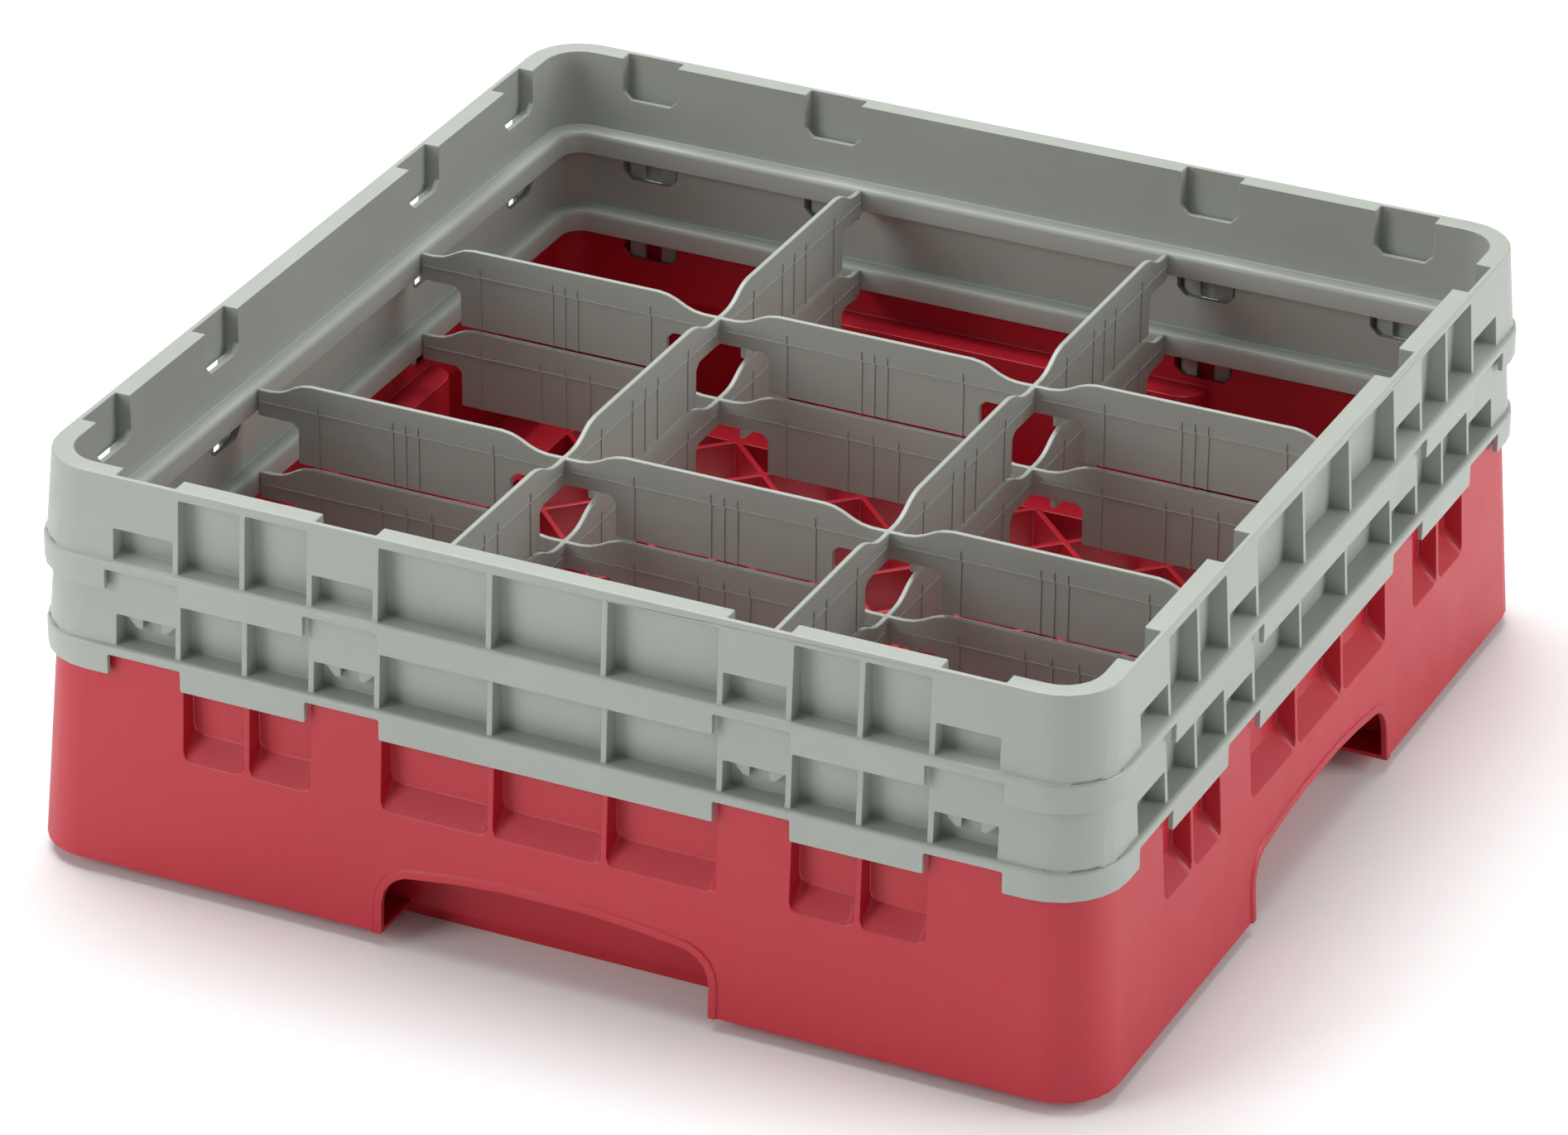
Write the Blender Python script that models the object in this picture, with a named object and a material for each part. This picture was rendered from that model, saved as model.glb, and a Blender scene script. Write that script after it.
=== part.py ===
"""Nine-compartment stacking glass rack: an open-floored base and two extenders with divider grids."""

import math

import bmesh
import bpy
from mathutils import Matrix, Vector

# Driving dimensions in metres. Every tier shares the rim, so what seats on it takes these values.
RIM_HALF = 0.2446
RIM_WIDTH = 0.0094
RIM_DEPTH = 0.0043
CORNER_RADIUS = 0.0264
CORNER_STEPS = 6
SKIN = 0.0024
RIB = 0.0026
SEAT_GAP = 0.0003

# Sockets along each side that take the prongs of the tier above.
POCKET_MARGIN = 0.0146
POCKET_PLACES = (-2, -1, 1, 2)
POCKET_WIDTH = 0.0284
POCKET_DEPTH = 0.0212
POCKET_CHAMFER = 0.0042
WINDOW_HEIGHT = 0.0145

# Extender: heights are measured from the rim that it stands on.
TIER = 0.0408
WALL_FLARE = 0.0024
WEB = 0.0024
SKIRT_PROUD = 0.0048
SKIRT_DROP = 0.0112
SKIRT_NOTCH_DROP = 0.0017
SKIRT_NOTCH_WIDTH = 0.0350
SKIRT_EASE = 0.0018
SHELF_WIDTH = 0.0075
SHELF_EASE = 0.0030
CURTAIN_DROP = 0.0087

# Prongs under the extender, two in each socket below.
PRONG_WIDTH = 0.0080
PRONG_GAP = 0.0086
PRONG_THICK = 0.0026
PRONG_DROP = 0.0312
PRONG_CHAMFER = 0.0050

# Divider strips.
COMPARTMENT = 0.1544
STRIP = 0.0024
STRIP_RISE = 0.0086
STRIP_DROP = 0.0302
DIP_RISE = 0.0019
DIP_HALF = 0.0125
DIP_SLOPE = 0.0130
END_DIP = 0.0110
END_SLOPE = 0.0105
SHOULDER = 0.0045
SHOULDER_STEPS = 2
NOTCH_RISE = 0.0195
NOTCH_HALF = 0.0255
NOTCH_CHAMFER = 0.0030
END_NOTCH = 0.0200

# Base rack: heights are measured from the surface that it stands on.
BASE_HEIGHT = 0.1099
BASE_FLARE = 0.0062
FOOT_RISE = 0.0060
CELL_FLOOR = 0.0635
CELL_SLOPE = 0.0100
CELL_CORNER = 0.0040
CELL_CORNER_STEPS = 2
BASE_POCKET_DROP = 0.0350
FOOT_WIDTH = 0.0303
FLOOR_DEPTH = 0.0200
FLOOR_BORDER = 0.0162
FLOOR_RIB = 0.0030
FLOOR_CELLS = 3

# Hand-hold under the middle of each side: an arch in the wall with a closed box behind it.
ARCH_HALF = 0.0765
ARCH_RISE = 0.0295
ARCH_BOW = 0.0047
ARCH_CORNER = 0.0150
ARCH_STEPS = 5
BEAD_WIDTH = 0.0040
BEAD_PROUD = 0.0008
BOX_HALF = 0.0980
BOX_HEIGHT = 0.0850
BOX_CORNER = 0.0120

# Margin by which a cutter runs past the face that it cuts.
PAST = 0.0020

INNER_HALF = RIM_HALF - RIM_WIDTH
SKIN_HALF = INNER_HALF + SKIN
SHELF_HALF = INNER_HALF - SHELF_WIDTH
SKIRT_HALF = RIM_HALF + SKIRT_PROUD
BASE_HALF = RIM_HALF + BASE_FLARE
WEB_TOP = SEAT_GAP + WEB
INNER_RADIUS = CORNER_RADIUS - RIM_WIDTH
LEAN = BASE_FLARE / (BASE_HEIGHT - FOOT_RISE)
FLOOR_HALF = BASE_HALF - FOOT_WIDTH
FLOOR_OPENING = FLOOR_HALF + SEAT_GAP
POCKET_PITCH = (RIM_HALF - CORNER_RADIUS - POCKET_MARGIN - POCKET_WIDTH / 2) / max(POCKET_PLACES)
RED = (0.52, 0.035, 0.055, 1.0)
GREY = (0.33, 0.35, 0.33, 1.0)


def clear_scene():
    for old in list(bpy.data.objects):
        bpy.data.objects.remove(old, do_unlink=True)


def new_collection(name):
    collection = bpy.data.collections.new(name)
    bpy.context.scene.collection.children.link(collection)
    return collection


def moulded_plastic(name, colour):
    material = bpy.data.materials.new(name)
    material.use_nodes = True
    shader = material.node_tree.nodes["Principled BSDF"]
    shader.inputs["Base Color"].default_value = colour
    shader.inputs["Roughness"].default_value = 0.45
    shader.inputs["Metallic"].default_value = 0.0
    return material


def quarter_turns():
    """The four sides, as turns about the middle of the rack with no rounding in them."""
    turn = Matrix(((0, -1, 0, 0), (1, 0, 0, 0), (0, 0, 1, 0), (0, 0, 0, 1)))
    return [Matrix(), turn, turn @ turn, turn @ turn @ turn]


def add_box(bm, low, high, turn):
    middle = Vector(low).lerp(Vector(high), 0.5)
    size = Vector(high) - Vector(low)
    place = turn @ Matrix.Translation(middle) @ Matrix.Diagonal((*size, 1))
    return bmesh.ops.create_cube(bm, size=1, matrix=place)["verts"]


def add_eased_box(bm, low, high, turn, axis, radius, steps, chooses=None):
    """A box whose edges along one axis are rounded or chamfered: all, or those that the chooser picks."""
    verts = add_box(bm, low, high, Matrix())
    middle = Vector(low).lerp(Vector(high), 0.5)
    picked = []
    for edge in bm.edges:
        first, second = edge.verts
        if first not in verts or abs((second.co - first.co).normalized()[axis]) < 0.999:
            continue
        if chooses is None or chooses(first.co - middle):
            picked.append(edge)
    eased = bmesh.ops.bevel(
        bm, geom=picked, offset=radius, segments=steps, profile=0.5, affect="EDGES"
    )
    verts = [vert for vert in verts if vert.is_valid]
    verts += [vert for vert in eased["verts"] if vert not in verts]
    bmesh.ops.transform(bm, matrix=turn, verts=verts)
    return verts


def add_block(bm, radius, *levels):
    """A square block with rounded corners, drawn in or out through levels of (height, half width)."""
    low, half = levels[0]
    verts = add_eased_box(
        bm, (-half, -half, low), (half, half, levels[1][0]), Matrix(), 2, radius, CORNER_STEPS
    )
    middle = (low + levels[1][0]) / 2
    upper = [vert for vert in verts if vert.co.z > middle]
    spread = levels[1][1] / half
    bmesh.ops.scale(bm, vec=(spread, spread, 1), verts=upper)
    for (below, inner), (above, outer) in zip(levels[1:], levels[2:]):
        cap = next(face for face in upper[0].link_faces if all(vert in upper for vert in face.verts))
        swept = bmesh.ops.extrude_face_region(bm, geom=[cap])
        bmesh.ops.delete(bm, geom=[cap], context="FACES_ONLY")
        upper = [item for item in swept["geom"] if isinstance(item, bmesh.types.BMVert)]
        bmesh.ops.scale(bm, vec=(outer / inner, outer / inner, 1), verts=upper)
        bmesh.ops.translate(bm, vec=(0, 0, above - below), verts=upper)


def eased_levels(height, half, radius, way):
    """Levels that round the upper edge of a block at that height, inwards or outwards by the way."""
    turns = [math.radians(angle) for angle in (0, 45, 90)]
    return [
        (height - radius + radius * math.sin(turn), half + way * radius * (1 - math.cos(turn)))
        for turn in turns
    ]


def add_prism(bm, outline, low, high, turn):
    """A solid with the given outline in X and Z, running from low to high along Y."""
    near = [bm.verts.new((x, low, z)) for x, z in outline]
    swept = bmesh.ops.extrude_face_region(bm, geom=[bm.faces.new(near)])
    far = [item for item in swept["geom"] if isinstance(item, bmesh.types.BMVert)]
    bmesh.ops.translate(bm, vec=(0, high - low, 0), verts=far)
    bmesh.ops.transform(bm, matrix=turn, verts=near + far)
    return near + far


def finish_mesh(bm, name):
    bmesh.ops.recalc_face_normals(bm, faces=bm.faces)
    mesh = bpy.data.meshes.new(name)
    bm.to_mesh(mesh)
    bm.free()
    return mesh


def new_cutter(name, bm):
    cutter = bpy.data.objects.new(name, finish_mesh(bm, name))
    cutters.objects.link(cutter)
    cutter.hide_render = True
    cutter.display_type = "WIRE"
    return cutter


def new_part(name, bm, material, parent=None):
    part = bpy.data.objects.new(name, finish_mesh(bm, name))
    part.data.materials.append(material)
    rack.objects.link(part)
    part.parent = parent
    return part


def combine(part, operation, tool):
    """Cuts a helper solid from a part, or joins it on. The helper follows the part's own place."""
    tool.parent = part.parent
    step = part.modifiers.new(tool.name, "BOOLEAN")
    step.operation = operation
    step.solver = "EXACT"
    step.object = tool


def pocket_centres():
    return [place * POCKET_PITCH for place in POCKET_PLACES]


def cell_spans():
    """The X ranges of the recessed cells of one side: two, three and two, between the sockets."""
    reach = POCKET_WIDTH / 2 + RIB
    centres = pocket_centres()
    spans = []
    for left, right, count in zip(centres, centres[1:], (2, 3, 2)):
        start = left + reach
        width = (right - left - 2 * reach - (count - 1) * RIB) / count
        for index in range(count):
            low = start + index * (width + RIB)
            spans.append((low, low + width))
    return spans


def cut_sockets(part, rim_top, drop, label):
    """Sockets between the two skins, each open to the inside through a U-shaped cut-out."""
    hollow = bmesh.new()
    mouth = bmesh.new()
    for turn in quarter_turns():
        for centre in pocket_centres():
            left = centre - POCKET_WIDTH / 2
            right = centre + POCKET_WIDTH / 2
            add_box(
                hollow,
                (left, -RIM_HALF + SKIN, rim_top - drop),
                (right, -SKIN_HALF, rim_top + PAST),
                turn,
            )
            add_eased_box(
                mouth,
                (left, -SKIN_HALF - SEAT_GAP, rim_top - POCKET_DEPTH),
                (right, -INNER_HALF + PAST, rim_top + PAST),
                turn,
                1,
                POCKET_CHAMFER,
                1,
                lambda place: place.z < 0,
            )
    combine(part, "DIFFERENCE", new_cutter(label + "_socket_hollows", hollow))
    combine(part, "DIFFERENCE", new_cutter(label + "_socket_mouths", mouth))


def cut_cells(part, wall_half, cell_floor, rim_top, slope, corner, label):
    """Recessed cells under the rim, with ribs between them. The floor rises by slope from wall to skin."""
    cells = bmesh.new()
    outside = wall_half + PAST
    drop = slope * PAST / (wall_half - SKIN_HALF)
    for turn in quarter_turns():
        for left, right in cell_spans():
            low = (left, -outside, cell_floor - drop)
            high = (right, -SKIN_HALF, rim_top - RIM_DEPTH)
            if corner > 0:
                verts = add_eased_box(
                    cells, low, high, Matrix(), 1, corner, CELL_CORNER_STEPS, lambda place: place.z < 0
                )
            else:
                verts = add_box(cells, low, high, Matrix())
            for vert in verts:
                if vert.co.y > -wall_half and vert.co.z < cell_floor + corner:
                    vert.co.z += slope + drop
            bmesh.ops.transform(cells, matrix=turn, verts=verts)
    combine(part, "DIFFERENCE", new_cutter(label + "_cells", cells))


def build_extender(label, seat):
    """One extender on the rim at height seat: walls with sockets, a channel that caps the rim, prongs."""
    joint = bpy.data.objects.new(label + "_lift", None)
    joint.location = (0, 0, seat)
    rack.objects.link(joint)

    walls = bmesh.new()
    add_block(walls, CORNER_RADIUS, (WEB, RIM_HALF + WALL_FLARE), (TIER, RIM_HALF))
    frame = new_part(label + "_frame", walls, grey, joint)

    skirt = bmesh.new()
    eased = eased_levels(WEB_TOP, SKIRT_HALF, SKIRT_EASE, -1)
    add_block(skirt, CORNER_RADIUS + SKIRT_PROUD, (-SKIRT_DROP, SKIRT_HALF), *eased)
    combine(frame, "UNION", new_cutter(label + "_skirt", skirt))

    inside = bmesh.new()
    add_block(inside, INNER_RADIUS, (WEB_TOP, INNER_HALF), (TIER + PAST, INNER_HALF))
    combine(frame, "DIFFERENCE", new_cutter(label + "_inside", inside))

    opening = bmesh.new()
    eased = eased_levels(WEB_TOP, SHELF_HALF, SHELF_EASE, 1)
    over = (WEB_TOP + PAST, SHELF_HALF + SHELF_EASE)
    shelf_radius = INNER_RADIUS - SHELF_WIDTH
    add_block(opening, shelf_radius, (-SKIRT_DROP - PAST, SHELF_HALF), *eased, over)
    combine(frame, "DIFFERENCE", new_cutter(label + "_opening", opening))

    channel = bmesh.new()
    channel_half = SKIRT_HALF - SKIN
    channel_radius = CORNER_RADIUS + SKIRT_PROUD - SKIN
    add_block(channel, channel_radius, (-SKIRT_DROP - PAST, channel_half), (SEAT_GAP, channel_half))
    channel_cutter = new_cutter(label + "_channel", channel)
    combine(frame, "DIFFERENCE", channel_cutter)
    curtain = bmesh.new()
    curtain_half = SHELF_HALF + SKIN
    add_block(curtain, shelf_radius + SKIN, (-CURTAIN_DROP, curtain_half), (TIER, curtain_half))
    combine(channel_cutter, "DIFFERENCE", new_cutter(label + "_curtain", curtain))

    cut_cells(frame, SKIRT_HALF, WEB_TOP, TIER, 0, 0, label)
    cut_sockets(frame, TIER, TIER - WEB_TOP, label)

    windows = bmesh.new()
    notches = bmesh.new()
    prongs = bmesh.new()
    outside = SKIRT_HALF + SKIN
    prong_middle = (RIM_HALF - SKIN + SKIN_HALF) / 2
    for turn in quarter_turns():
        for centre in pocket_centres():
            add_box(
                windows,
                (centre - POCKET_WIDTH / 2, -outside, WEB_TOP),
                (centre + POCKET_WIDTH / 2, -SKIN_HALF - SKIN / 2, WEB_TOP + WINDOW_HEIGHT),
                turn,
            )
            add_box(
                notches,
                (centre - SKIRT_NOTCH_WIDTH / 2, -outside, -SKIRT_DROP - PAST),
                (centre + SKIRT_NOTCH_WIDTH / 2, -channel_half + PAST, -SKIRT_NOTCH_DROP),
                turn,
            )
            for side in (-1, 1):
                near = centre + side * PRONG_GAP / 2
                far = near + side * PRONG_WIDTH
                add_eased_box(
                    prongs,
                    (min(near, far), -prong_middle - PRONG_THICK / 2, -PRONG_DROP),
                    (max(near, far), -prong_middle + PRONG_THICK / 2, WEB_TOP - WEB / 2),
                    turn,
                    1,
                    PRONG_CHAMFER,
                    1,
                    lambda place, side=side: place.z < 0 and place.x * side > 0,
                )
    combine(frame, "DIFFERENCE", new_cutter(label + "_windows", windows))
    combine(frame, "DIFFERENCE", new_cutter(label + "_skirt_notches", notches))
    combine(frame, "UNION", new_cutter(label + "_prongs", prongs))

    build_divider_grid(label, joint)


def strip_outline(reach):
    """Half of a strip's outline, X outwards and Z up, from its middle to its end at the curtain."""
    crossing = COMPARTMENT / 2
    top = [
        (crossing - DIP_HALF - DIP_SLOPE, STRIP_RISE),
        (crossing - DIP_HALF, DIP_RISE),
        (crossing + DIP_HALF, DIP_RISE),
        (crossing + DIP_HALF + DIP_SLOPE, STRIP_RISE),
        (reach - END_DIP - END_SLOPE, STRIP_RISE),
        (reach - END_DIP, DIP_RISE),
        (reach, DIP_RISE),
    ]
    low = -STRIP_DROP
    notch = low + NOTCH_RISE
    bottom = [
        (reach, notch),
        (reach - END_NOTCH + NOTCH_CHAMFER, notch),
        (reach - END_NOTCH, notch - NOTCH_CHAMFER),
        (reach - END_NOTCH, low),
        (crossing + NOTCH_HALF, low),
        (crossing + NOTCH_HALF, notch - NOTCH_CHAMFER),
        (crossing + NOTCH_HALF - NOTCH_CHAMFER, notch),
        (crossing - NOTCH_HALF + NOTCH_CHAMFER, notch),
        (crossing - NOTCH_HALF, notch - NOTCH_CHAMFER),
        (crossing - NOTCH_HALF, low),
    ]
    return top + bottom


def add_strip(bm, offset, turn):
    reach = SHELF_HALF - SEAT_GAP
    half = strip_outline(reach)
    outline = half + [(-x, z) for x, z in reversed(half)]
    verts = add_prism(bm, outline, offset - STRIP / 2, offset + STRIP / 2, Matrix())
    shoulders = []
    for edge in bm.edges:
        first, second = edge.verts
        across = abs(first.co.y - second.co.y) > STRIP / 2
        if first in verts and across and first.co.z > 0 and abs(first.co.x) < reach:
            shoulders.append(edge)
    rounded = bmesh.ops.bevel(
        bm, geom=shoulders, offset=SHOULDER, segments=SHOULDER_STEPS, profile=0.5, affect="EDGES"
    )
    verts = [vert for vert in verts if vert.is_valid]
    verts += [vert for vert in rounded["verts"] if vert not in verts]
    bmesh.ops.transform(bm, matrix=turn, verts=verts)


def build_divider_grid(label, joint):
    """Two strips each way that cross in one moulding and reach the curtain on all four sides."""
    along = bmesh.new()
    across = bmesh.new()
    for side in (-1, 1):
        add_strip(along, side * COMPARTMENT / 2, Matrix())
        add_strip(across, side * COMPARTMENT / 2, Matrix.Rotation(math.radians(90), 4, "Z"))
    grid = new_part(label + "_divider_grid", along, grey, joint)
    combine(grid, "UNION", new_cutter(label + "_cross_strips", across))


def build_base():
    """The base walls: flared outside, cells and sockets at the rim, a foot flange and four hand-holds."""
    walls = bmesh.new()
    add_block(walls, CORNER_RADIUS, (FOOT_RISE, BASE_HALF), (BASE_HEIGHT, RIM_HALF))
    base = new_part("base_walls", walls, red)
    combine(base, "DIFFERENCE", base_inside())
    make_hand_holds(base)
    lip_half = BASE_HALF - LEAN * (CELL_FLOOR - FOOT_RISE)
    cut_cells(base, lip_half, CELL_FLOOR, BASE_HEIGHT, CELL_SLOPE, CELL_CORNER, "base")
    cut_sockets(base, BASE_HEIGHT, BASE_POCKET_DROP, "base")


def base_inside():
    """The hollow of the base: wide below the cells, drawn in under them, less the four hand-hold boxes."""
    slope_low = CELL_FLOOR - SKIN
    slope_high = slope_low + CELL_SLOPE
    foot_half = BASE_HALF - SKIN
    wide_half = foot_half - LEAN * (slope_low - FOOT_RISE)
    wide_radius = CORNER_RADIUS - SKIN

    wide = bmesh.new()
    add_block(wide, wide_radius, (FOOT_RISE + SKIN, foot_half), (slope_low, wide_half))
    inside = new_cutter("base_inside", wide)

    slope = bmesh.new()
    add_block(slope, wide_radius, (slope_low - PAST, wide_half), (slope_high, INNER_HALF))
    combine(inside, "UNION", new_cutter("base_slope_inside", slope))

    upper = bmesh.new()
    add_block(upper, INNER_RADIUS, (slope_high - PAST, INNER_HALF), (BASE_HEIGHT + PAST, INNER_HALF))
    combine(inside, "UNION", new_cutter("base_upper_inside", upper))

    opening = bmesh.new()
    flange_top = FOOT_RISE + SKIN
    add_block(opening, INNER_RADIUS, (FOOT_RISE - PAST, FLOOR_OPENING), (flange_top + PAST, FLOOR_OPENING))
    combine(inside, "UNION", new_cutter("base_floor_opening", opening))

    combine(inside, "DIFFERENCE", hand_hold_boxes())
    return inside


def hand_hold_boxes():
    """The shells behind the arches: a long wall beside the floor, round-ended, under a closed top."""
    outer = bmesh.new()
    hollow = bmesh.new()
    wall = BASE_HALF + PAST
    for turn in quarter_turns():
        add_eased_box(
            outer,
            (-BOX_HALF, -wall, FOOT_RISE),
            (BOX_HALF, -FLOOR_OPENING, BOX_HEIGHT),
            turn,
            2,
            BOX_CORNER,
            CORNER_STEPS,
            lambda place: place.y > 0,
        )
        add_eased_box(
            hollow,
            (-BOX_HALF + SKIN, -wall - PAST, FOOT_RISE - PAST),
            (BOX_HALF - SKIN, -FLOOR_OPENING - SKIN, BOX_HEIGHT - SKIN),
            turn,
            2,
            BOX_CORNER - SKIN,
            CORNER_STEPS,
            lambda place: place.y > 0,
        )
    boxes = new_cutter("hand_hold_boxes", outer)
    combine(boxes, "DIFFERENCE", new_cutter("hand_hold_hollows", hollow))
    return boxes


def arch_outline(grow):
    """The arch in X and Z, larger by grow all round: straight sides, round shoulders, a bowed top."""
    half = ARCH_HALF + grow
    radius = ARCH_CORNER + grow
    top = FOOT_RISE + ARCH_RISE + grow
    flat = half - radius
    side = [(half, FOOT_RISE - PAST)]
    for step in range(ARCH_STEPS + 1):
        angle = math.radians(90 * step / ARCH_STEPS)
        side.append((flat + radius * math.cos(angle), top - radius + radius * math.sin(angle)))
    for share in (0.67, 0.33):
        side.append((share * flat, top + ARCH_BOW * (1 - share ** 2)))
    return side + [(-x, z) for x, z in reversed(side)]


def make_hand_holds(base):
    """A bead round each arch, then the arch itself, which opens the wall and the foot flange."""
    beads = bmesh.new()
    arches = bmesh.new()
    for turn in quarter_turns():
        verts = add_prism(
            beads, arch_outline(BEAD_WIDTH), -BASE_HALF - BEAD_PROUD, -BASE_HALF + SKIN / 2, Matrix()
        )
        for vert in verts:
            vert.co.z = max(vert.co.z, FOOT_RISE)
            vert.co.y += LEAN * (vert.co.z - FOOT_RISE)
        bmesh.ops.transform(beads, matrix=turn, verts=verts)
        add_prism(arches, arch_outline(0), -BASE_HALF - PAST, -FLOOR_OPENING - SKIN, turn)
    combine(base, "UNION", new_cutter("arch_beads", beads))
    combine(base, "DIFFERENCE", new_cutter("arch_openings", arches))


def build_floor():
    """The open floor: a border and diagonal ribs, left by cutting diamonds from a plate."""
    plate = bmesh.new()
    add_block(plate, INNER_RADIUS, (0, FLOOR_HALF), (FLOOR_DEPTH, FLOOR_HALF))
    floor = new_part("base_floor", plate, red)
    limit = FLOOR_HALF - FLOOR_BORDER
    step = COMPARTMENT / FLOOR_CELLS / 2
    hole_half = (step * math.sqrt(2) - FLOOR_RIB) / 2
    count = math.floor(limit / step)
    eighth = Matrix.Rotation(math.radians(45), 4, "Z")
    diamonds = bmesh.new()
    for row in range(-count, count + 1):
        for column in range(-count, count + 1):
            if (row + column) % 2 == 0:
                add_box(
                    diamonds,
                    (-hole_half, -hole_half, -PAST),
                    (hole_half, hole_half, FLOOR_DEPTH + PAST),
                    Matrix.Translation((column * step, row * step, 0)) @ eighth,
                )
    holes = new_cutter("floor_diamonds", diamonds)
    field = bmesh.new()
    add_block(field, FLOOR_RIB, (-2 * PAST, limit), (FLOOR_DEPTH + 2 * PAST, limit))
    combine(holes, "INTERSECT", new_cutter("floor_field", field))
    combine(floor, "DIFFERENCE", holes)


clear_scene()
rack = new_collection("glass_rack")
cutters = new_collection("cutters")
red = moulded_plastic("red_polypropylene", RED)
grey = moulded_plastic("grey_polypropylene", GREY)
build_base()
build_floor()
build_extender("lower_extender", BASE_HEIGHT)
build_extender("upper_extender", BASE_HEIGHT + TIER)
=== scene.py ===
import math

import bpy
from mathutils import Matrix, Vector


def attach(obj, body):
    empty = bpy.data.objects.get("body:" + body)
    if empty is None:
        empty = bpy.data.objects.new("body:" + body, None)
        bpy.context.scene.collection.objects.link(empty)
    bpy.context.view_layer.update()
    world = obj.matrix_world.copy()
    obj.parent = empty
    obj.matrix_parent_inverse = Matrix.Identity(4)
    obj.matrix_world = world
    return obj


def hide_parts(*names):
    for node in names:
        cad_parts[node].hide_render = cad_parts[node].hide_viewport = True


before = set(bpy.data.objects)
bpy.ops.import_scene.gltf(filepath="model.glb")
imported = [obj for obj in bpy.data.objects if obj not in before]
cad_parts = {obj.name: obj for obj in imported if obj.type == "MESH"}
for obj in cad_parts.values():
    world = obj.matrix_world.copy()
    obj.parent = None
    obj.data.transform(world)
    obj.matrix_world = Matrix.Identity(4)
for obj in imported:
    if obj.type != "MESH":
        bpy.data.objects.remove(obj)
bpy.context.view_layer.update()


# Base rack.
# One deep moulding in red polypropylene: outer walls, an open lattice floor and four hand-holds.
# It is shot in a single tool, so its edges carry small radii and its faces a fine satin grain.

edge_radius = 0.0006
compartment_pitch = 0.1544
floor_depth = 0.020
diamond_pitch = compartment_pitch / 3
border_diamonds = 7
border_half_diagonal = 0.0236
border_edge = 0.2043
red = (0.45, 0.004, 0.018, 1)
red_roughness = 0.46
mottle = 0.03


def moulding_from_nodes(name, *nodes):
    """One mesh from merged copies of the solids of a moulding."""
    bpy.ops.object.select_all(action="DESELECT")
    copies = []
    for node in nodes:
        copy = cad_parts[node].copy()
        copy.data = copy.data.copy()
        copy.parent = None
        copy.matrix_world = Matrix.Identity(4)
        for key in list(copy.keys()):
            del copy[key]
        bpy.context.scene.collection.objects.link(copy)
        copy.select_set(True)
        copies.append(copy)
    bpy.context.view_layer.objects.active = copies[0]
    bpy.ops.object.join()
    moulding = bpy.context.view_layer.objects.active
    moulding.name = name
    moulding.data.name = name
    moulding.data.materials.clear()
    bpy.ops.object.mode_set(mode="EDIT")
    bpy.ops.mesh.select_all(action="SELECT")
    bpy.ops.mesh.remove_doubles(threshold=0.00001)
    bpy.ops.object.mode_set(mode="OBJECT")
    return moulding


def open_floor_border(moulding):
    """Half-diamonds along the straight rib of the border, where the floor's diagonal ribs run out."""
    half_pitch = diamond_pitch / 2
    cut_past = 0.003
    first_diamond = (
        -(border_diamonds - 1) * half_pitch,
        (border_diamonds + 1) * half_pitch,
        floor_depth / 2,
    )
    bpy.ops.object.select_all(action="DESELECT")
    bpy.ops.mesh.primitive_cylinder_add(
        vertices=4,
        radius=border_half_diagonal,
        depth=floor_depth + 2 * cut_past,
        location=first_diamond,
    )
    cutter = bpy.context.view_layer.objects.active
    bpy.ops.object.transform_apply(location=True, rotation=False, scale=False)
    row = cutter.modifiers.new("row", "ARRAY")
    row.count = border_diamonds
    row.use_relative_offset = False
    row.use_constant_offset = True
    row.constant_offset_displace = (diamond_pitch, 0, 0)
    bpy.ops.object.modifier_apply(modifier=row.name)
    bpy.ops.object.mode_set(mode="EDIT")
    bpy.ops.mesh.select_all(action="SELECT")
    bpy.ops.mesh.bisect(
        plane_co=(0, border_edge, 0), plane_no=(0, 1, 0), use_fill=True, clear_outer=True
    )
    bpy.ops.mesh.select_all(action="SELECT")
    other_sides = 3
    for _ in range(other_sides):
        bpy.ops.mesh.duplicate()
        bpy.ops.transform.rotate(value=math.pi / 2, orient_axis="Z", center_override=(0, 0, 0))
    bpy.ops.mesh.select_all(action="SELECT")
    bpy.ops.mesh.normals_make_consistent(inside=False)
    bpy.ops.object.mode_set(mode="OBJECT")
    bpy.ops.object.select_all(action="DESELECT")
    moulding.select_set(True)
    bpy.context.view_layer.objects.active = moulding
    opening = moulding.modifiers.new("border_openings", "BOOLEAN")
    opening.operation = "DIFFERENCE"
    opening.solver = "EXACT"
    opening.object = cutter
    bpy.ops.object.modifier_apply(modifier=opening.name)
    bpy.data.objects.remove(cutter, do_unlink=True)


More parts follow.
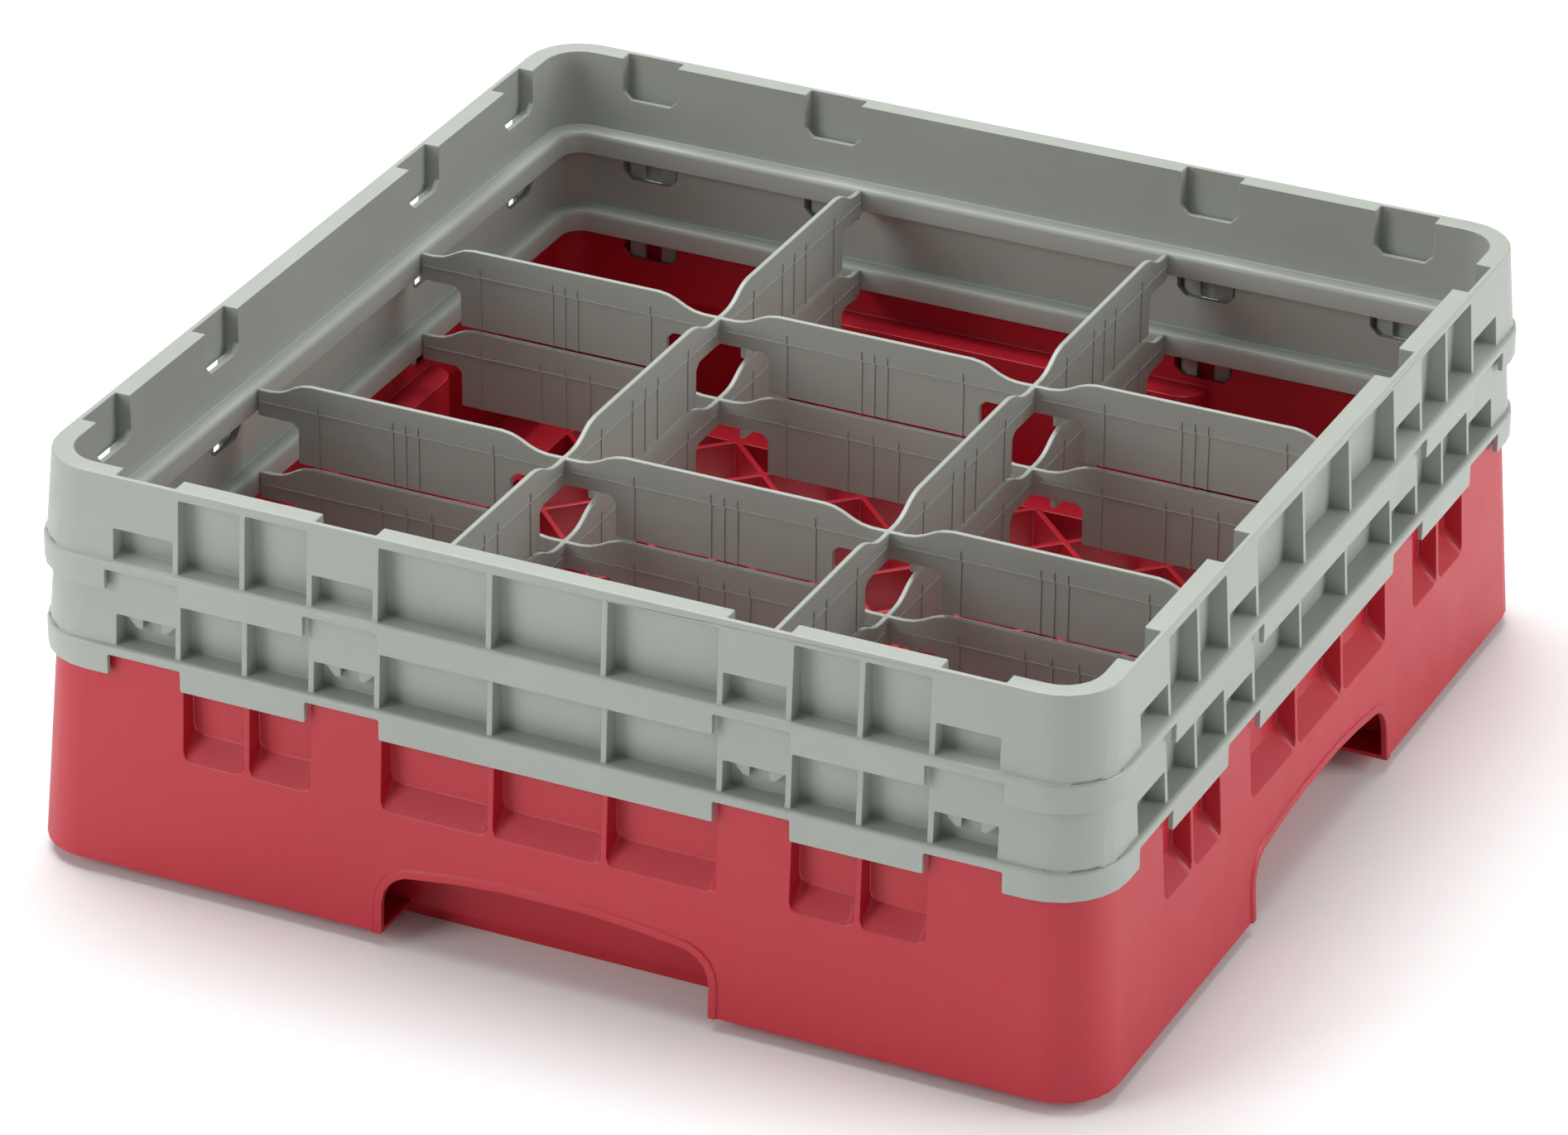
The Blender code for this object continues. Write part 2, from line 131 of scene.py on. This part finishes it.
def round_edges(moulding):
    """The small radius that the tool leaves on every sharp edge."""
    sliver = 0.00003
    flat_angle = math.radians(1)
    sharp_angle = math.radians(35)
    smooth_angle = math.radians(40)
    bpy.ops.object.select_all(action="DESELECT")
    moulding.select_set(True)
    bpy.context.view_layer.objects.active = moulding
    # Slivers are cleared first, because a bevel pulls them into dark creases.
    bpy.ops.object.mode_set(mode="EDIT")
    bpy.ops.mesh.select_all(action="SELECT")
    bpy.ops.mesh.quads_convert_to_tris()
    bpy.ops.mesh.dissolve_degenerate(threshold=sliver)
    bpy.ops.mesh.beautify_fill(angle_limit=flat_angle)
    bpy.ops.object.mode_set(mode="OBJECT")
    bevel = moulding.modifiers.new("edge_radius", "BEVEL")
    bevel.width = edge_radius
    bevel.segments = 2
    bevel.limit_method = "ANGLE"
    bevel.angle_limit = sharp_angle
    bevel.use_clamp_overlap = False
    bevel.miter_outer = "MITER_ARC"
    bpy.ops.object.modifier_apply(modifier=bevel.name)
    bpy.ops.object.shade_smooth_by_angle(angle=smooth_angle)
    level = moulding.modifiers.new("flat_faces", "WEIGHTED_NORMAL")
    level.mode = "FACE_AREA"
    level.weight = 100
    level.keep_sharp = True
    bpy.ops.object.modifier_apply(modifier=level.name)


def moulded_grain_group():
    """Grain of a spark-eroded tool, a soft mottle and the faint haze of handling."""
    haze_swing = 0.16
    group = bpy.data.node_groups.new("moulded_grain", "ShaderNodeTree")
    face = group.interface
    face.new_socket("Colour", in_out="INPUT", socket_type="NodeSocketColor")
    face.new_socket("Mottle", in_out="INPUT", socket_type="NodeSocketFloat")
    face.new_socket("Roughness", in_out="INPUT", socket_type="NodeSocketFloat")
    face.new_socket("Base Colour", in_out="OUTPUT", socket_type="NodeSocketColor")
    face.new_socket("Surface Roughness", in_out="OUTPUT", socket_type="NodeSocketFloat")
    face.new_socket("Height", in_out="OUTPUT", socket_type="NodeSocketFloat")
    nodes = group.nodes
    links = group.links
    given = nodes.new("NodeGroupInput")
    result = nodes.new("NodeGroupOutput")
    place = nodes.new("ShaderNodeTexCoord")

    # Mottle: the colour is scaled by a little more or a little less than 1.
    cloud = nodes.new("ShaderNodeTexNoise")
    cloud.inputs["Scale"].default_value = 14
    cloud.inputs["Detail"].default_value = 4
    links.new(place.outputs["Object"], cloud.inputs["Vector"])
    shade = nodes.new("ShaderNodeMapRange")
    shade.inputs["From Min"].default_value = 0.3
    shade.inputs["From Max"].default_value = 0.7
    shade.inputs["To Min"].default_value = -1
    shade.inputs["To Max"].default_value = 1
    links.new(cloud.outputs["Fac"], shade.inputs["Value"])
    amount = nodes.new("ShaderNodeMath")
    amount.operation = "MULTIPLY_ADD"
    amount.inputs[2].default_value = 1
    links.new(shade.outputs["Result"], amount.inputs[0])
    links.new(given.outputs["Mottle"], amount.inputs[1])
    tint = nodes.new("ShaderNodeVectorMath")
    tint.operation = "SCALE"
    links.new(given.outputs["Colour"], tint.inputs[0])
    links.new(amount.outputs["Value"], tint.inputs["Scale"])
    links.new(tint.outputs["Vector"], result.inputs["Base Colour"])

    # Haze: the roughness swings evenly about the given one.
    haze = nodes.new("ShaderNodeTexNoise")
    haze.inputs["Scale"].default_value = 55
    haze.inputs["Detail"].default_value = 3
    links.new(place.outputs["Object"], haze.inputs["Vector"])
    spread = nodes.new("ShaderNodeMath")
    spread.operation = "MULTIPLY_ADD"
    spread.inputs[1].default_value = haze_swing
    spread.inputs[2].default_value = -haze_swing / 2
    links.new(haze.outputs["Fac"], spread.inputs[0])
    rough = nodes.new("ShaderNodeMath")
    rough.operation = "ADD"
    links.new(spread.outputs["Value"], rough.inputs[0])
    links.new(given.outputs["Roughness"], rough.inputs[1])
    links.new(rough.outputs["Value"], result.inputs["Surface Roughness"])

    # Grain: fine bumps, less than a millimetre across.
    grain = nodes.new("ShaderNodeTexNoise")
    grain.inputs["Scale"].default_value = 1400
    grain.inputs["Detail"].default_value = 2
    links.new(place.outputs["Object"], grain.inputs["Vector"])
    links.new(grain.outputs["Fac"], result.inputs["Height"])
    return group


def moulded_polypropylene(name, colour, roughness):
    """Coloured plastic with the grain of the tool."""
    material = bpy.data.materials.new(name)
    material.use_nodes = True
    nodes = material.node_tree.nodes
    links = material.node_tree.links
    shader = nodes["Principled BSDF"]
    shader.inputs["IOR"].default_value = 1.49
    shader.inputs["Specular IOR Level"].default_value = 0.7
    grain = nodes.new("ShaderNodeGroup")
    grain.node_tree = moulded_grain
    grain.inputs["Colour"].default_value = colour
    grain.inputs["Mottle"].default_value = mottle
    grain.inputs["Roughness"].default_value = roughness
    links.new(grain.outputs["Base Colour"], shader.inputs["Base Color"])
    links.new(grain.outputs["Surface Roughness"], shader.inputs["Roughness"])
    bump = nodes.new("ShaderNodeBump")
    bump.inputs["Strength"].default_value = 0.12
    bump.inputs["Distance"].default_value = 0.0003
    links.new(grain.outputs["Height"], bump.inputs["Height"])
    links.new(bump.outputs["Normal"], shader.inputs["Normal"])
    return material


moulded_grain = moulded_grain_group()
red_polypropylene = moulded_polypropylene("red_polypropylene", red, red_roughness)

base_rack = moulding_from_nodes("base_rack", "base_walls", "base_floor")
open_floor_border(base_rack)
round_edges(base_rack)
base_rack.data.materials.append(red_polypropylene)
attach(base_rack, "base")
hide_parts("base_walls", "base_floor")


# Lower extender.
# A shallow grey moulding that caps the base's rim and plugs into its sockets with paired prongs.
# Its crossed dividers, with fine ribs on their panels, are part of the same moulding as its walls.

compartments_across = 3
strip = 0.0024
ledge_length = 0.145
ledge_height = 0.0005
ledge_proud = 0.00045
ledge_drop = 0.0038
rib_width = 0.0015
rib_proud = 0.0005
rib_drop = 0.0300
tick_width = 0.0006
tick_height = 0.0045
outer_rib = 0.0432
wide_pair = 0.0125
narrow_pair = 0.0063
grey = (0.338, 0.367, 0.333, 1)
grey_roughness = 0.42


def rim_of(node):
    """Height of a tier's rim, on which the next tier sits."""
    return max(corner[2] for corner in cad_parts[node].bound_box)


def panel_ribs(seat, pair):
    """A fine ledge, five hairline ribs and their ticks on every panel of the strips along X."""
    ledge = seat - ledge_drop
    rib_low = seat - rib_drop
    ledge_thick = strip + 2 * ledge_proud
    rib_thick = strip + 2 * rib_proud
    first_panel = -(compartments_across - 1) / 2 * compartment_pitch
    first_strip = -(compartments_across - 2) / 2 * compartment_pitch
    bpy.ops.object.select_all(action="DESELECT")
    bpy.ops.mesh.primitive_cube_add(size=1)
    ribs = bpy.context.view_layer.objects.active
    bpy.ops.object.mode_set(mode="EDIT")
    bpy.ops.mesh.select_all(action="SELECT")
    bpy.ops.transform.resize(value=(ledge_length, ledge_thick, ledge_height))
    bpy.ops.transform.translate(value=(0, 0, ledge))
    for offset in (-outer_rib, -pair, 0, pair, outer_rib):
        bpy.ops.mesh.primitive_cube_add(size=1)
        bpy.ops.transform.resize(value=(rib_width, rib_thick, ledge - rib_low))
        bpy.ops.transform.translate(value=(offset, 0, (ledge + rib_low) / 2))
        bpy.ops.mesh.primitive_cube_add(size=1)
        bpy.ops.transform.resize(value=(tick_width, rib_thick, tick_height))
        bpy.ops.transform.translate(value=(offset, 0, ledge + tick_height / 2))
    bpy.ops.object.mode_set(mode="OBJECT")
    along_strip = (compartments_across, (compartment_pitch, 0, 0))
    across_strips = (compartments_across - 1, (0, compartment_pitch, 0))
    for count, step in (along_strip, across_strips):
        row = ribs.modifiers.new("row", "ARRAY")
        row.count = count
        row.use_relative_offset = False
        row.use_constant_offset = True
        row.constant_offset_displace = step
        bpy.ops.object.modifier_apply(modifier=row.name)
    bpy.ops.object.mode_set(mode="EDIT")
    bpy.ops.mesh.select_all(action="SELECT")
    bpy.ops.transform.translate(value=(first_panel, first_strip, 0))
    bpy.ops.object.mode_set(mode="OBJECT")
    return ribs


def quarter_turned(detail):
    """The same detail on the strips that run the other way."""
    bpy.ops.object.select_all(action="DESELECT")
    detail.select_set(True)
    bpy.context.view_layer.objects.active = detail
    bpy.ops.object.mode_set(mode="EDIT")
    bpy.ops.mesh.select_all(action="SELECT")
    bpy.ops.transform.rotate(value=math.pi / 2, orient_axis="Z", center_override=(0, 0, 0))
    bpy.ops.object.mode_set(mode="OBJECT")
    return detail


def join_to(moulding, *details):
    """Details that belong to the same shot of plastic become part of its mesh."""
    bpy.ops.object.select_all(action="DESELECT")
    for detail in details:
        detail.select_set(True)
    moulding.select_set(True)
    bpy.context.view_layer.objects.active = moulding
    bpy.ops.object.join()


grey_polypropylene = moulded_polypropylene("grey_polypropylene", grey, grey_roughness)

lower_extender = moulding_from_nodes(
    "lower_extender", "lower_extender_frame", "lower_extender_divider_grid"
)
round_edges(lower_extender)
base_rim = rim_of("base_walls")
join_to(
    lower_extender,
    panel_ribs(base_rim, wide_pair),
    quarter_turned(panel_ribs(base_rim, narrow_pair)),
)
lower_extender.data.materials.append(grey_polypropylene)
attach(lower_extender, "lower_extender")
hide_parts("lower_extender_frame", "lower_extender_divider_grid")


# Upper extender.
# The same grey moulding again, turned by a quarter and plugged into the sockets of the lower one.
# The turn shows on its panels, where the wide and the narrow pairs of ribs change places.

upper_extender = moulding_from_nodes(
    "upper_extender", "upper_extender_frame", "upper_extender_divider_grid"
)
round_edges(upper_extender)
lower_rim = rim_of("lower_extender_frame")
join_to(
    upper_extender,
    panel_ribs(lower_rim, narrow_pair),
    quarter_turned(panel_ribs(lower_rim, wide_pair)),
)
upper_extender.data.materials.append(grey_polypropylene)
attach(upper_extender, "upper_extender")
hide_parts("upper_extender_frame", "upper_extender_divider_grid")


# Studio floor and backdrop.
# One sheet of matt white paper, far larger than the rack, that keeps a soft shadow under it.
# Away from the rack it fades to pure white for the camera alone, so it adds no light.

sweep_size = 30
sweep_drop = 0.0002
shadow_reach = 0.5
white_reach = 2.4

bpy.ops.object.select_all(action="DESELECT")
bpy.ops.mesh.primitive_plane_add(size=sweep_size, location=(0, 0, -sweep_drop))
sweep = bpy.context.view_layer.objects.active
sweep.name = "studio_floor"
paper = bpy.data.materials.new("white_paper")
paper.use_nodes = True
paper_nodes = paper.node_tree.nodes
paper_links = paper.node_tree.links
paper_shader = paper_nodes["Principled BSDF"]
paper_shader.inputs["Base Color"].default_value = (0.9, 0.9, 0.9, 1)
paper_shader.inputs["Roughness"].default_value = 0.9
paper_shader.inputs["Emission Strength"].default_value = 1
paper_place = paper_nodes.new("ShaderNodeTexCoord")
paper_reach = paper_nodes.new("ShaderNodeVectorMath")
paper_reach.operation = "LENGTH"
paper_links.new(paper_place.outputs["Object"], paper_reach.inputs[0])
paper_fade = paper_nodes.new("ShaderNodeMapRange")
paper_fade.interpolation_type = "SMOOTHSTEP"
paper_fade.inputs["From Min"].default_value = shadow_reach
paper_fade.inputs["From Max"].default_value = white_reach
paper_links.new(paper_reach.outputs["Value"], paper_fade.inputs["Value"])
paper_seen = paper_nodes.new("ShaderNodeLightPath")
paper_white = paper_nodes.new("ShaderNodeMath")
paper_white.operation = "MULTIPLY"
paper_links.new(paper_fade.outputs["Result"], paper_white.inputs[0])
paper_links.new(paper_seen.outputs["Is Camera Ray"], paper_white.inputs[1])
paper_links.new(paper_white.outputs["Value"], paper_shader.inputs["Emission Color"])
sweep.data.materials.append(paper)


# Studio light.
# A wide soft box overhead and two smaller ones as fills, from the front left and from the right.
# A pale surround lifts the shadows, and the camera sees it as white.

rack_middle = Vector((0, 0, 0.1))
surround_light = 0.3
surround_seen = 1


def soft_box(name, place, side, power):
    """A square lamp that faces the middle of the rack."""
    bpy.ops.object.select_all(action="DESELECT")
    bpy.ops.object.light_add(type="AREA", location=place)
    lamp = bpy.context.view_layer.objects.active
    lamp.name = name
    lamp.data.shape = "SQUARE"
    lamp.data.size = side
    lamp.data.energy = power
    lamp.rotation_euler = (rack_middle - Vector(place)).to_track_quat("-Z", "Y").to_euler()


soft_box("overhead_box", place=(-0.6, 0.5, 2.6), side=2.4, power=92)
soft_box("front_fill", place=(-1.9, -2.4, 1.3), side=1.6, power=40)
soft_box("right_fill", place=(2.7, 0.9, 1.1), side=1.6, power=42)

world = bpy.data.worlds.new("pale_surround")
world.use_nodes = True
bpy.context.scene.world = world
surround = world.node_tree.nodes["Background"]
surround.inputs["Color"].default_value = (1, 1, 1, 1)
seen = world.node_tree.nodes.new("ShaderNodeLightPath")
strength = world.node_tree.nodes.new("ShaderNodeMapRange")
strength.inputs["To Min"].default_value = surround_light
strength.inputs["To Max"].default_value = surround_seen
world.node_tree.links.new(seen.outputs["Is Camera Ray"], strength.inputs["Value"])
world.node_tree.links.new(strength.outputs["Result"], surround.inputs["Strength"])


# Camera.
# Long lens from the front right, at the height and tilt of the photograph.

camera_place = (1.216586, -2.624404, 1.614063)
azimuth = math.radians(-25.008)
elevation = math.radians(27.938)
roll = math.radians(0.609)

ahead = Vector((
    math.sin(azimuth) * math.cos(elevation),
    math.cos(azimuth) * math.cos(elevation),
    -math.sin(elevation),
))
level = Vector((math.cos(azimuth), -math.sin(azimuth), 0))
above = level.cross(ahead)
right = math.cos(roll) * level + math.sin(roll) * above
upward = -math.sin(roll) * level + math.cos(roll) * above
lens = bpy.data.cameras.new("photo_camera")
lens.sensor_fit = "HORIZONTAL"
lens.sensor_width = 36
lens.lens = 170.28
lens.clip_end = 100
camera = bpy.data.objects.new("photo_camera", lens)
turn = Matrix((right, upward, -ahead)).transposed().to_4x4()
camera.matrix_world = Matrix.Translation(camera_place) @ turn
bpy.context.scene.collection.objects.link(camera)
bpy.context.scene.camera = camera
bpy.context.scene.view_settings.view_transform = "Standard"
